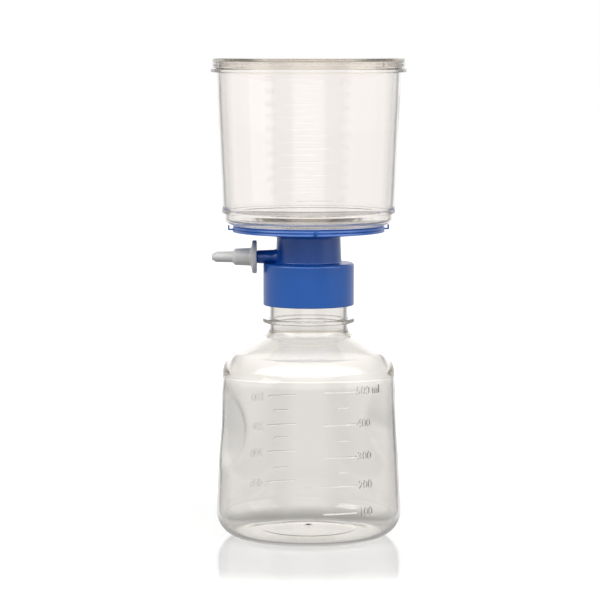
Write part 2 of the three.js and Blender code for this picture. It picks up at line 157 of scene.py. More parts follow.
ADAPTER_FIT = 0.3
ADAPTER_FLANGE_RIM = 2.4
ADAPTER_FLANGE_ROOT = 3.1
ADAPTER_BODY_R = 4.85
ADAPTER_BODY_END_R = 4.5
ADAPTER_BODY_LENGTH = 11.8
ADAPTER_STEP_LENGTH = 1.4
NOZZLE_R = 3.05
NOZZLE_END_R = 2.85
NOSE_LENGTH = 2.3
NOSE_TIP_R = 1.5
NOZZLE_BORE_R = 1.0

CHAMBER_WALL = 1.9
CHAMBER_BOTTOM_R = 46.85
CHAMBER_TOP_R = 50.1
CHAMBER_FLOOR = 1.9
MEMBRANE_CLAMP = 1.8
FOOT_R = 45.6
FOOT_HEIGHT = 6.1
FOOT_CORNER_R = 3.5
WELD_INNER_R = 39.7
WELD_OUTER_R = 41.9
WELD_DEPTH = 0.5
FOOT_LEDGE = 1.3
BEAD_R = 47.2
BEAD_HEIGHT = 3.0
BEAD_FLAT = 1.0
BEAD_FADE_R = 6.0
RIM_THICKNESS = 2.0
RIM_DROP = 3.9
CHAMBER_LIP_R = 50.2

LID_THICKNESS = 1.5
LID_FIT = 0.5
LID_BEAD = 0.4
LID_BEAD_DROP = 3.5
LID_EDGE_R = 0.9
LID_RIB_COUNT = 15
LID_RIB_WIDTH = 1.0
LID_RIB_DEPTH = 0.25
LID_RIB_TURN = 3.5

MARK_SUNK = 0.4
MARK_BEVEL = 0.16
MARK_EDGE_ANGLE = 4
MARK_STEP = 1.2

# Marks of the bottle. A line is (azimuth of its start, length), a label starts at its azimuth, and
# a sector is the span of azimuths that has a scale in it.
BOTTLE_MARK_PROUD = 0.45
BOTTLE_MARK_WIDTH = 1.0
BOTTLE_LABEL_SIZE = 6.2
BOTTLE_LABELLED = 100
BOTTLE_SCALES = [
    {
        "heights": {
            100: 19.3,
            150: 24.9,
            200: 33.8,
            250: 41.2,
            300: 49.2,
            350: 58.2,
            400: 66.7,
            450: 75.7,
            500: 84.1,
        },
        "long line": (9, 19),
        "short line": (18, 7),
        "label": 32.5,
    },
    {
        "heights": {400: 22.5, 350: 30.2, 300: 39.7, 250: 47.4, 200: 54.8, 150: 63.0, 100: 71.4},
        "long line": (188.5, 17),
        "short line": (194, 8.5),
        "label": 212,
    },
]
BOTTLE_SECTORS = [(0, 60), (182, 240)]

# Marks of the chamber: the same scale twice, with lines and labels counted from its azimuth.
CHAMBER_MARK_PROUD = 0.06
CHAMBER_MARK_WIDTH = 0.6
CHAMBER_LABEL_SIZE = 4.4
CHAMBER_VOLUMES = range(50, 501, 25)
CHAMBER_LABELLED = 50
CHAMBER_SCALE_BOTTOM = 186.0
CHAMBER_SCALE_TOP = 248.8
CHAMBER_SCALE_AZIMUTHS = (0, 184)
CHAMBER_LONG_LINE = (-8, 19)
CHAMBER_SHORT_LINE = (-3, 7)
CHAMBER_LABEL = 18.6
CHAMBER_SECTORS = [(0, 60), (340, 360), (170, 240)]


def extent(node):
    """Lowest and highest corner of a CAD node, in millimetres."""
    low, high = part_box(node)
    return low / MM, high / MM


# ---- outlines: lists of (radius, height) --------------------------------------------------------


def arc(centre_r, centre_z, radius, start, end, steps):
    """Points on an arc, with angles in radians."""
    angles = np.linspace(start, end, steps + 1)
    return [(centre_r + radius * math.cos(a), centre_z + radius * math.sin(a)) for a in angles]


def rounded(points, steps=5):
    """An outline whose points may carry a third number: the radius that rounds that corner.

    One more point next to each end of an arc keeps the shading of the flat beside it flat, where
    the flat is long enough for it.
    """
    guard, room = 1.2, 2.5
    outline = []
    for i, point in enumerate(points):
        corner = np.array(point[:2])
        radius = point[2] if len(point) > 2 else 0
        if radius == 0:
            outline.append(tuple(corner))
            continue
        before = np.array(points[i - 1][:2]) - corner
        after = np.array(points[(i + 1) % len(points)][:2]) - corner
        reach_before, reach_after = np.linalg.norm(before), np.linalg.norm(after)
        before, after = before / reach_before, after / reach_after
        half = math.acos(np.clip(before @ after, -1, 1)) / 2
        bisector = (before + after) / np.linalg.norm(before + after)
        centre = corner + bisector * radius / math.sin(half)
        length = radius / math.tan(half)
        first = corner + before * length - centre
        last = corner + after * length - centre
        start = math.atan2(first[1], first[0])
        turn = math.atan2(last[1], last[0]) - start
        turn = (turn + math.pi) % (2 * math.pi) - math.pi
        if reach_before > room * length:
            outline.append(tuple(corner + before * guard * length))
        outline += arc(centre[0], centre[1], radius, start, start + turn, steps)
        if reach_after > room * length:
            outline.append(tuple(corner + after * guard * length))
    return outline


def divided(outline, low, high, spacing):
    """The outline with more points on its stretches between two heights."""
    slack = 1e-6
    made = []
    for here, there in zip(outline, outline[1:] + outline[:1]):
        made.append(here)
        inside = low - slack <= min(here[1], there[1]) and max(here[1], there[1]) <= high + slack
        if inside and max(here[0], there[0]) > slack:
            steps = math.ceil(math.dist(here, there) / spacing)
            for k in range(1, steps):
                made.append(tuple(np.array(here) + (np.array(there) - np.array(here)) * k / steps))
    return made


# ---- meshes -------------------------------------------------------------------------------------


def mesh_piece(name, points, faces, material):
    """A smooth-shaded piece from points in millimetres."""
    mesh = bpy.data.meshes.new(name)
    mesh.from_pydata([tuple(p) for p in np.array(points) * MM], [], faces)
    shape = bmesh.new()
    shape.from_mesh(mesh)
    bmesh.ops.recalc_face_normals(shape, faces=shape.faces)
    shape.to_mesh(mesh)
    shape.free()
    mesh.materials.append(material)
    piece = bpy.data.objects.new(name, mesh)
    bpy.context.scene.collection.objects.link(piece)
    smooth(piece)
    return piece


def smooth(piece):
    piece.data.shade_smooth()
    piece.data.set_sharp_from_angle(angle=math.radians(SMOOTH_ANGLE))


def turned(name, outline, segments, material, reshape=None):
    """A solid turned about +Z from an outline that starts and ends on the axis, or a closed ring.

    reshape(radius, height, angles) gives the radii of one row, with angles counted from +X.
    """
    angles = np.arange(segments) * 2 * math.pi / segments
    points, rows = [], []
    for radius, height in outline:
        if radius < 1e-6:
            rows.append([len(points)])
            points.append((0, 0, height))
            continue
        radii = np.full(segments, radius)
        if reshape:
            radii = reshape(radii, height, angles)
        rows.append(list(range(len(points), len(points) + segments)))
        points += zip(radii * np.cos(angles), radii * np.sin(angles), np.full(segments, height))
    closed = len(rows[0]) > 1
    faces = []
    for row, following in zip(rows, rows[1:] + (rows[:1] if closed else [])):
        for j in range(segments):
            k = (j + 1) % segments
            corners = [row[j % len(row)], row[k % len(row)]]
            corners += [following[k % len(following)], following[j % len(following)]]
            face = list(dict.fromkeys(corners))
            if len(face) > 2:
                faces.append(face)
    return mesh_piece(name, points, faces, material)


def joined(piece, tool, operation="UNION"):
    """Joins another piece to this one, or cuts with it, and uses it up."""
    step = piece.modifiers.new("step", "BOOLEAN")
    step.operation = operation
    step.solver = "MANIFOLD"
    step.object = tool
    finished = piece.evaluated_get(bpy.context.evaluated_depsgraph_get())
    mesh = bpy.data.meshes.new_from_object(finished)
    piece.modifiers.clear()
    piece.data = mesh
    bpy.data.objects.remove(tool)
    smooth(piece)


def block(low, high, material, turn):
    """A box between two corners, turned about +Z."""
    points = []
    cos, sin = math.cos(math.radians(turn)), math.sin(math.radians(turn))
    for x in (low[0], high[0]):
        for y in (low[1], high[1]):
            for z in (low[2], high[2]):
                points.append((x * cos - y * sin, x * sin + y * cos, z))
    faces = [(0, 1, 3, 2), (4, 6, 7, 5), (0, 4, 5, 1), (2, 3, 7, 6), (0, 2, 6, 4), (1, 5, 7, 3)]
    return mesh_piece("block", points, faces, material)


def merged(name, parts):
    """Separate solids as one piece."""
    points, faces = [], []
    for part in parts:
        offset = len(points)
        points += [v.co / MM for v in part.data.vertices]
        faces += [[offset + i for i in face.vertices] for face in part.data.polygons]
    material = parts[0].data.materials[0]
    for part in parts:
        bpy.data.objects.remove(part)
    return mesh_piece(name, points, faces, material)


# ---- shader nodes -------------------------------------------------------------------------------


def maths(tree, operation, *sockets):
    """Sockets taken together by one operation, from the first to the last."""
    result = sockets[0]
    for socket in sockets[1:]:
        node = tree.nodes.new("ShaderNodeMath")
        node.operation = operation
        tree.links.new(result, node.inputs[0])
        tree.links.new(socket, node.inputs[1])
        result = node.outputs[0]
    return result


def absolute(tree, socket):
    node = tree.nodes.new("ShaderNodeMath")
    node.operation = "ABSOLUTE"
    tree.links.new(socket, node.inputs[0])
    return node.outputs[0]


def value_ramp(tree, socket, start, end, start_value, end_value, kind="SMOOTHSTEP"):
    """A change from one value to another between two positions."""
    node = tree.nodes.new("ShaderNodeMapRange")
    node.interpolation_type = kind
    node.inputs["From Min"].default_value = start
    node.inputs["From Max"].default_value = end
    node.inputs["To Min"].default_value = start_value
    node.inputs["To Max"].default_value = end_value
    tree.links.new(socket, node.inputs["Value"])
    return node.outputs["Result"]


def profile(tree, socket, ramps):
    """The product of several ramps along one socket."""
    return maths(tree, "MULTIPLY", *[value_ramp(tree, socket, *ramp) for ramp in ramps])


def mixed(tree, factor, first, second):
    """The first shader where the factor is 0, and the second where it is 1."""
    node = tree.nodes.new("ShaderNodeMixShader")
    tree.links.new(factor, node.inputs["Fac"])
    tree.links.new(first, node.inputs[1])
    tree.links.new(second, node.inputs[2])
    return node.outputs[0]


def glow(tree, strength):
    """White light of its own, as strong as a socket says."""
    node = tree.nodes.new("ShaderNodeEmission")
    tree.links.new(strength, node.inputs["Strength"])
    return node.outputs[0]


# ---- materials ----------------------------------------------------------------------------------

PLASTIC_IOR = 1.5
CLEAR_ROUGHNESS = 0.02
CLEAR_TINT_INSIDE = (0.80, 0.76, 0.68)
WAVE_SCALE = 60
WAVE_HEIGHT = 0.001
GRAIN_SCALE = 900
GRAIN_HEIGHT = 0.0003
CLOUD_SCALE = 40
CLOUD_SPAN = (0.3, 0.7)
CLOUD_CONTRAST = 0.06


def material_with_shader(name, kind="ShaderNodeBsdfPrincipled"):
    material = bpy.data.materials.new(name)
    material.use_nodes = True
    tree = material.node_tree
    tree.nodes.clear()
    output = tree.nodes.new("ShaderNodeOutputMaterial")
    shader = tree.nodes.new(kind)
    tree.links.new(shader.outputs[0], output.inputs["Surface"])
    return material, tree, shader, output


def noise_texture(tree, scale):
    """A noise texture that stays on the object."""
    place = tree.nodes.new("ShaderNodeTexCoord")
    noise = tree.nodes.new("ShaderNodeTexNoise")
    noise.inputs["Scale"].default_value = scale
    tree.links.new(place.outputs["Object"], noise.inputs["Vector"])
    return noise


def bumped(tree, shader, scale, strength, distance):
    """Fine unevenness of a moulded surface."""
    noise = noise_texture(tree, scale)
    bump = tree.nodes.new("ShaderNodeBump")
    bump.inputs["Strength"].default_value = strength
    bump.inputs["Distance"].default_value = distance
    tree.links.new(noise.outputs["Fac"], bump.inputs["Height"])
    tree.links.new(bump.outputs["Normal"], shader.inputs["Normal"])


def clear_plastic(name, tint, density, wave):
    """Moulded clear plastic, which lets lamps through and darkens with its thickness."""
    material, tree, shader, output = material_with_shader(name)
    shader.inputs["Base Color"].default_value = (*tint, 1)
    shader.inputs["Transmission Weight"].default_value = 1.0
    shader.inputs["Roughness"].default_value = CLEAR_ROUGHNESS
    shader.inputs["IOR"].default_value = PLASTIC_IOR
    bumped(tree, shader, WAVE_SCALE, wave, WAVE_HEIGHT)
    rays = tree.nodes.new("ShaderNodeLightPath")
    open_to_light = tree.nodes.new("ShaderNodeBsdfTransparent")
    open_to_light.inputs["Color"].default_value = (*tint, 1)
    shadow = rays.outputs["Is Shadow Ray"]
    surface = mixed(tree, shadow, shader.outputs[0], open_to_light.outputs[0])
    tree.links.new(surface, output.inputs["Surface"])
    inside = tree.nodes.new("ShaderNodeVolumeAbsorption")
    inside.inputs["Color"].default_value = (*CLEAR_TINT_INSIDE, 1)
    inside.inputs["Density"].default_value = density
    tree.links.new(inside.outputs[0], output.inputs["Volume"])
    return material


def solid_plastic(name, colour, roughness, grain):
    """Opaque moulded plastic with a fine grain and slightly uneven colour."""
    material, tree, shader, _ = material_with_shader(name)
    shader.inputs["Roughness"].default_value = roughness
    shader.inputs["IOR"].default_value = PLASTIC_IOR
    bumped(tree, shader, GRAIN_SCALE, grain, GRAIN_HEIGHT)
    cloud = noise_texture(tree, CLOUD_SCALE)
    ramp = tree.nodes.new("ShaderNodeValToRGB")
    darker = [c * (1 - CLOUD_CONTRAST) for c in colour]
    lighter = [min(1, c * (1 + CLOUD_CONTRAST)) for c in colour]
    for stop, position, shade in zip(ramp.color_ramp.elements, CLOUD_SPAN, (darker, lighter)):
        stop.position = position
        stop.color = (*shade, 1)
    tree.links.new(cloud.outputs["Fac"], ramp.inputs["Fac"])
    tree.links.new(ramp.outputs["Color"], shader.inputs["Base Color"])
    return material


# ---- screw thread -------------------------------------------------------------------------------


def ridge_height(height, angles, bottom, start, turns):
    """Height, from 0 to 1, of a helical ridge at one level of its wall."""
    made = np.zeros(len(angles))
    first = ((angles - start) / (2 * math.pi)) % 1
    for lap in range(math.ceil(turns) + 1):
        turn = first + lap
        away = np.abs(height - bottom - THREAD_PITCH * turn)
        flank = (THREAD_BASE_WIDTH - THREAD_CREST_WIDTH) / 2
        rise = np.clip((THREAD_BASE_WIDTH / 2 - away) / flank, 0, 1)
        fade = np.clip(np.minimum(turn, turns - turn) / THREAD_FADE, 0, 1)
        made = np.maximum(made, rise * fade)
    return made


# ---- receiver bottle ----------------------------------------------------------------------------


WALL_LEAN = math.atan((BOTTLE_BASE_R - BOTTLE_SHOULDER_R) / SHOULDER_HEIGHT)


def bottle_wall_r(height):
    return BOTTLE_BASE_R - math.tan(WALL_LEAN) * height


def shoulder_z(radius, inset):
    """Height of the shoulder's cone at a radius, for a surface set in from the outside."""
    rise = (BOTTLE_SHOULDER_R - radius) * math.tan(SHOULDER_SLOPE)
    return SHOULDER_HEIGHT + rise - inset / math.cos(SHOULDER_SLOPE)


def base_radii(foot_r):
    """Where the push-up's section has its points: close together at the gate and at the disc."""
    gate = np.linspace(0, 2 * GATE_R, 9)
    disc = np.linspace(5, BASE_DISC_R - 1, 6)
    step = np.linspace(BASE_DISC_R - 0.8, BASE_DISC_R + 0.8, 9)
    rim = np.linspace(BASE_DISC_R + 1.5, foot_r, 5)
    return [*gate, *disc, *step, *rim]


def base_z(radius, foot_r):
    """Height of the push-up's underside, with the disc's step and the gate mark on it."""
    dome = PUSH_UP * (1 - (radius / foot_r) ** 2)
    step = BASE_DISC_STEP * (1 - math.tanh((radius - BASE_DISC_R) / BASE_STEP_WIDTH)) / 2
    gate = GATE_HEIGHT * math.exp(-((radius / GATE_R) ** 2) * 2)
    return dome + BASE_DISC_STEP / 2 - step - gate


def bottle_section(neck_r, wall_inset, cone_inset, shoulder_arc_r, neck_arc_r):
    """Half section from the middle of the base up to the neck, set in from the outside."""
    heel_r = bottle_wall_r(HEEL_ARC_R) - HEEL_ARC_R / math.cos(WALL_LEAN)
    foot_r = heel_r - FOOT_WIDTH
    reach = BOTTLE_BASE_R - (shoulder_arc_r + wall_inset) / math.cos(WALL_LEAN)
    closing = 1 - math.tan(SHOULDER_SLOPE) * math.tan(WALL_LEAN)
    shoulder_centre_z = shoulder_z(reach, shoulder_arc_r + cone_inset) / closing
    shoulder_centre_r = reach - math.tan(WALL_LEAN) * shoulder_centre_z
    neck_centre_r = neck_r + neck_arc_r
    neck_centre_z = shoulder_z(neck_centre_r, cone_inset - neck_arc_r)
    square = math.pi / 2 - SHOULDER_SLOPE
    base = [(r, base_z(r, foot_r) + wall_inset) for r in base_radii(foot_r)]
    heel = arc(heel_r, HEEL_ARC_R, HEEL_ARC_R - wall_inset, -math.pi / 2, WALL_LEAN, 18)
    shoulder = arc(shoulder_centre_r, shoulder_centre_z, shoulder_arc_r, WALL_LEAN, square, 16)
    neck = arc(neck_centre_r, neck_centre_z, neck_arc_r, square - math.pi, -math.pi, 10)
    return base + heel + shoulder + neck


def gripped(radii, height, angles, inset):
    """The wall's radii with both thumb grips pressed in.

    A grip is the print of a large drum that lies on its side against the wall. The two surfaces
    are blended, so that its edge is soft. Rows well above and below the grips stay as they are.
    """
    wall_r = bottle_wall_r(GRIP_HEIGHT)
    depth = wall_r - math.sqrt(wall_r**2 - GRIP_R**2)
    drum_r = GRIP_R**2 / (2 * depth)
    away = height - GRIP_HEIGHT
    if abs(away) > 1.3 * GRIP_R:
        return radii
    floor = wall_r - depth + drum_r - math.sqrt((drum_r + inset) ** 2 - away**2)
    for azimuth in GRIP_AZIMUTHS:
        across = np.cos(angles - math.radians(azimuth - 90))
        reach = floor / np.maximum(across, 0.3)
        blend = np.exp(-(radii - floor) / GRIP_SOFTNESS) + np.exp(-(reach - floor) / GRIP_SOFTNESS)
        radii = np.where(reach < 3 * floor, floor - GRIP_SOFTNESS * np.log(blend), radii)
    return radii


def receiver_bottle(material):
    lip = extent("receiver_bottle")[1].z
    ring_top = lip - FINISH_HEIGHT
    ring_bottom = ring_top - NECK_RING_THICKNESS
    thread_bottom = lip - THREAD_LEAD - THREAD_PITCH * NECK_THREAD_TURNS
    bore_r = NECK_R - NECK_WALL
    outside = bottle_section(NECK_R, 0, 0, SHOULDER_ARC_R, NECK_ARC_R)
    inner_arc_r = NECK_ARC_R + SHOULDER_WALL
    inside = bottle_section(bore_r, BOTTLE_WALL, SHOULDER_WALL, SHOULDER_ROOM_ARC_R, inner_arc_r)
    finish = rounded(
        [
            outside[-1],
            (NECK_R, ring_bottom, 0.4),
            (NECK_RING_R, ring_bottom, 0.7),
            (NECK_RING_R, ring_top, 0.7),
            (NECK_R, ring_top, 0.4),
            (NECK_R, lip, 0.5),
            (bore_r, lip, 0.6),
            inside[-1],
        ]
    )
    outline = outside + finish[1:-1] + inside[::-1]
    outline = divided(outline, HEEL_ARC_R - 1, SHOULDER_HEIGHT, WALL_ROW)
    outline = divided(outline, thread_bottom - THREAD_PITCH, lip - 0.6, THREAD_ROW)

    def reshape(radii, height, angles):
        if radii[0] < bore_r + 0.01 and height > SHOULDER_HEIGHT:
            return radii
        if height > ring_top:
            ridge = ridge_height(height, angles, thread_bottom, 0, NECK_THREAD_TURNS)
            return radii + THREAD_DEPTH * ridge
        on_inner_wall = radii[0] < bottle_wall_r(height) - BOTTLE_WALL / 2
        return gripped(radii, height, angles, BOTTLE_WALL if on_inner_wall else 0)

    bottle = turned("bottle_shell", outline, BODY_SEGMENTS, material, reshape)
    joined(bottle, bottle_marks(material))
    crisp_marks(bottle, HEEL_ARC_R + 1, SHOULDER_HEIGHT - 9, BOTTLE_SECTORS)
    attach(bottle, "receiver")
    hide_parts("receiver_bottle")


# ---- raised marks -------------------------------------------------------------------------------


def wrapped(points, azimuth, height, wall_r):
    """Bends flat points (along, up, proud) round a wall."""
    placed = []
    for along, up, proud in points:
        radius = wall_r(height + up)
        angle = math.radians(azimuth) + along / radius
        out = radius + proud
        placed.append((out * math.sin(angle), -out * math.cos(angle), height + up))
    return placed


def mark_line(material, azimuth, length, height, wall_r, width, proud):
    """A raised bar that runs round the wall from an azimuth."""
    steps = max(2, math.ceil(length / MARK_STEP))
    section = [(-width / 2, -MARK_SUNK)]
    for turn in np.linspace(-math.pi / 2, math.pi / 2, 7):
        section.append((math.sin(turn) * width / 2, math.cos(turn) * proud))
    section.append((width / 2, -MARK_SUNK))
    count = len(section)
    points = []
    for k in range(steps + 1):
        points += [(length * k / steps, up, proud) for up, proud in section]
    faces = [list(range(count)), [count * steps + j for j in reversed(range(count))]]
    for k in range(steps):
        for j in range(count):
            a, b = count * k + j, count * k + (j + 1) % count
            faces.append((a, b, b + count, a + count))
    return mesh_piece("mark", wrapped(points, azimuth, height, wall_r), faces, material)


def mark_text(material, text, size, azimuth, height, wall_r, proud):
    """Raised lettering that starts at an azimuth, centred on a height."""
    curve = bpy.data.curves.new("mark", "FONT")
    curve.body = text
    curve.size = size
    curve.resolution_u = 4
    curve.extrude = (proud + MARK_SUNK) / 2 - MARK_BEVEL
    curve.bevel_depth = MARK_BEVEL
    curve.bevel_resolution = 2
    curve.offset = -MARK_BEVEL / 2
    curve.align_y = "CENTER"
    holder = bpy.data.objects.new("mark", curve)
    bpy.context.scene.collection.objects.link(holder)
    bpy.context.view_layer.update()
    mesh = bpy.data.meshes.new_from_object(holder)
    shape = bmesh.new()
    shape.from_mesh(mesh)
    bmesh.ops.remove_doubles(shape, verts=shape.verts, dist=1e-4)
    lift = (proud - MARK_SUNK) / 2
    flat = [(v.co.x, v.co.y, v.co.z + lift) for v in shape.verts]
    faces = [[v.index for v in face.verts] for face in shape.faces]
    shape.free()
    bpy.data.objects.remove(holder)
    return mesh_piece("mark", wrapped(flat, azimuth, height, wall_r), faces, material)


def crisp_marks(piece, low, high, sectors):
    """Keeps the smooth shading of a wall apart from that of the marks on it.

    The marks are between two heights, in sectors that are given as pairs of azimuths.
    """
    shape = bmesh.new()
    shape.from_mesh(piece.data)
    for edge in shape.edges:
        middle = (edge.verts[0].co + edge.verts[1].co) / 2
        azimuth = math.degrees(math.atan2(middle.x, -middle.y)) % 360
        marked = any(start <= azimuth <= end for start, end in sectors)
        if marked and low < middle.z / MM < high:
            if edge.calc_face_angle(0) > math.radians(MARK_EDGE_ANGLE):
                edge.smooth = False
    shape.to_mesh(piece.data)
    shape.free()


def bottle_marks(material):
    """Graduations of the bottle: one scale at the front right and one at the back."""
    marks = []
    for scale in BOTTLE_SCALES:
        for volume, height in scale["heights"].items():
            labelled = volume % BOTTLE_LABELLED == 0
            azimuth, length = scale["long line" if labelled else "short line"]
            size = (BOTTLE_MARK_WIDTH, BOTTLE_MARK_PROUD)
            marks.append(mark_line(material, azimuth, length, height, bottle_wall_r, *size))
            if labelled:
                text = f"{volume} mL" if volume == 500 else f"{volume}"
                place = (scale["label"], height, bottle_wall_r, BOTTLE_MARK_PROUD)
                marks.append(mark_text(material, text, BOTTLE_LABEL_SIZE, *place))
    return merged("marks", marks)


# ---- neck gasket --------------------------------------------------------------------------------


def neck_gasket(material):
    low, high = extent("neck_gasket")
    corners = [(GASKET_BORE_R, low.z), (high.x, low.z), (high.x, high.z), (GASKET_BORE_R, high.z)]
    outline = rounded([(*corner, 0.3) for corner in corners])
    gasket = turned("gasket_ring", outline, BODY_SEGMENTS, material)
    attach(gasket, "seal")
    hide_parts("neck_gasket")


# ---- support moulding ---------------------------------------------------------------------------


def support_levels():
    """Heights of the support moulding, worked out from its box."""
    low, high = extent("support_base")
    collar_top = low.z + COLLAR_HEIGHT
    rib_top = extent("membrane")[0].z - SEAT_GAP
    channel_rim = rib_top - CHANNEL_DEPTH
    channel_centre = channel_rim - FUNNEL_DROP
    return {
        "collar_bottom": low.z,
        "collar_top": collar_top,
        "roof": collar_top - COLLAR_ROOF,
        "cone_bottom": collar_top + STEM_LENGTH,
        "plate_bottom": high.z - PLATE_THICKNESS,
        "plate_top": high.z,
        "rib_top": rib_top,
        "channel_rim": channel_rim,
        "channel_centre": channel_centre,
        "cavity_roof": channel_centre - WEB_THICKNESS,
    }


def plate_edge(at):
    """The plate's edge from its lower face up: ridges whose slopes catch the light."""
    edge = []
    for ridge_r, base_r, level, width in PLATE_RIDGES:
        height = at["plate_bottom"] + level
        edge += [(base_r, height - PLATE_RIDGE_FOOT, 0.05), (ridge_r, height, 0.1)]
        edge.append((ridge_r - PLATE_RIDGE_LEAN * width, height + width, 0.1))
    return edge


def support_body(material, at):
    collar_bore_r = NECK_R + THREAD_DEPTH + THREAD_CLEARANCE
    collar_r = collar_bore_r + COLLAR_WALL
    recess_r = extent("membrane")[1].x + MEMBRANE_FIT
    channel_r = extent("membrane")[1].x - MEMBRANE_LAND
    spout_bottom = at["cavity_roof"] - SPOUT_LENGTH
    thread_bottom = (
        extent("receiver_bottle")[1].z - THREAD_LEAD - THREAD_PITCH * NECK_THREAD_TURNS
    )
    outline = rounded(
        [
            (DRAIN_R, spout_bottom, 0.3),
            (DRAIN_R + SPOUT_WALL, spout_bottom, 0.3),
            (DRAIN_R + SPOUT_WALL, at["cavity_roof"], 0.6),
            (STEM_TOP_R - STEM_WALL, at["cavity_roof"], 0.6),
            (STEM_BOTTOM_R - STEM_WALL, at["roof"], 0.3),
            (collar_bore_r, at["roof"], 0.5),
            (collar_bore_r, at["collar_bottom"] + COLLAR_LEAD_IN, 0.2),
            (collar_bore_r + COLLAR_LEAD_IN, at["collar_bottom"], 0.2),
            (collar_r, at["collar_bottom"], 0.5),
            (collar_r, at["collar_top"], 1.2),
            (STEM_BOTTOM_R, at["collar_top"], 0.9),
            (STEM_TOP_R, at["cone_bottom"], 1.2),
            (PLATE_R - PLATE_EDGE_WIDTH, at["plate_bottom"], 0.3),
            *plate_edge(at),
            (recess_r, at["plate_top"], 0.2),
            (recess_r, at["rib_top"], 0.1),
            (channel_r, at["rib_top"], 0.1),
            (channel_r, at["channel_rim"], 0.3),
            (DRAIN_R, at["channel_centre"], 0.4),
        ],
        steps=4,
    )
    outline = divided(outline, thread_bottom - 2, at["roof"] - 0.5, THREAD_ROW)

    def reshape(radii, height, angles):
        if abs(radii[0] - collar_bore_r) > 0.01:
            return radii
        ridge = ridge_height(height, angles, thread_bottom, math.pi, COLLAR_THREAD_TURNS)
        return radii - THREAD_DEPTH * ridge

    return turned("support_moulding", outline, BODY_SEGMENTS, material, reshape)


def support_ribs(material, at):
    """Radial ribs, long and short in turn, over the drain channels."""
    end_r = extent("membrane")[1].x - MEMBRANE_LAND / 2
    bottom = at["channel_centre"] - WEB_THICKNESS / 4
    ribs = []
    for i in range(RIB_COUNT):
        start_r = LONG_RIB_START_R if i % 2 == 0 else SHORT_RIB_START_R
        low = (start_r, -RIB_THICKNESS / 2, bottom)
        high = (end_r, RIB_THICKNESS / 2, at["rib_top"])
        ribs.append(block(low, high, material, 360 * i / RIB_COUNT))
    return merged("ribs", ribs)


def plate_hook(material, at, turn):
    """A small L-shaped hook on the plate's edge, with its end turned up."""
    hook_r = extent("support_base")[1].x / math.cos(math.radians(HOOK_TURN))
    root_r = PLATE_R - HOOK_THICKNESS
    bottom = at["plate_bottom"] + HOOK_LIFT
    top = bottom + HOOK_HEIGHT
    section = rounded(
        [
            (root_r, bottom),
            (hook_r, bottom, 0.3),
            (hook_r, top, 0.25),
            (hook_r - HOOK_THICKNESS, top, 0.25),
            (hook_r - HOOK_THICKNESS, bottom + HOOK_THICKNESS, 0.3),
            (root_r, bottom + HOOK_THICKNESS),
        ],
        steps=3,
    )
    cos, sin = math.cos(math.radians(turn)), math.sin(math.radians(turn))
    points = []
    for side in (-HOOK_WIDTH / 2, HOOK_WIDTH / 2):
        points += [(r * cos - side * sin, r * sin + side * cos, z) for r, z in section]
    count = len(section)
    faces = [list(range(count)), list(range(2 * count - 1, count - 1, -1))]
    for i in range(count):
        j = (i + 1) % count
        faces.append((i, j, j + count, i + count))
    return mesh_piece("hook", points, faces, material)


def laid_along_arm(piece):
    """Turns a form made along +Z so that it points along -X through the arm's axis."""
    low, high = extent("port_plug")
    arm_z = (low.z + high.z) / 2
    for vertex in piece.data.vertices:
        x, y, z = vertex.co
        vertex.co = (-z, y, x + arm_z * MM)
    piece.data.flip_normals()
    piece.data.update()
    return piece


def side_arm(material):
    start = STEM_TOP_R - STEM_WALL / 2
    spigot_x = ARM_SHOULDER_X + ARM_SPIGOT_LENGTH
    outline = rounded(
        [
            (0, start),
            (ARM_ROOT_R + ARM_FLARE, start),
            (ARM_ROOT_R, STEM_TOP_R + ARM_FLARE_LENGTH, 2.0),
            (ARM_TIP_R, ARM_SHOULDER_X, 0.3),
            (ARM_SPIGOT_R, ARM_SHOULDER_X, 0.15),
            (ARM_SPIGOT_R, spigot_x, 0.4),
            (0, spigot_x),
        ]
    )
    return laid_along_arm(turned("arm", outline, SMALL_SEGMENTS, material))


def arm_passage(material):
    start = STEM_TOP_R - 2 * STEM_WALL
    high = extent("port_plug")[1]
    plug_bore_r = high.y + PLUG_FIT
    plug_seat = -high.x - PLUG_FIT
    end = ARM_SHOULDER_X + ARM_SPIGOT_LENGTH + 1
    outline = [
        (0, start),
        (ARM_BORE_R, start),
        (ARM_BORE_R, plug_seat),
        (plug_bore_r, plug_seat),
        (plug_bore_r, end),
        (0, end),
    ]
    return laid_along_arm(turned("passage", outline, SMALL_SEGMENTS, material))


def support_base(material):
    at = support_levels()
    support = support_body(material, at)
    joined(support, support_ribs(material, at))
    hooks = [
        plate_hook(material, at, HOOK_TURN + 360 * i / HOOK_COUNT) for i in range(HOOK_COUNT)
    ]
    joined(support, merged("hooks", hooks))
    joined(support, side_arm(material))
    joined(support, arm_passage(material), "DIFFERENCE")
    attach(support, "filter_head")
    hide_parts("support_base")


# ---- port plug and tubing adapter ---------------------------------------------------------------


def port_plug(material):
    low, high = extent("port_plug")
    outline = rounded([(0, -high.x), (high.y, -high.x, 0.4), (high.y, -low.x, 0.4), (0, -low.x)])
    plug = laid_along_arm(turned("fibre_plug", outline, PLUG_SEGMENTS, material))
    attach(plug, "filter_head")
    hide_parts("port_plug")


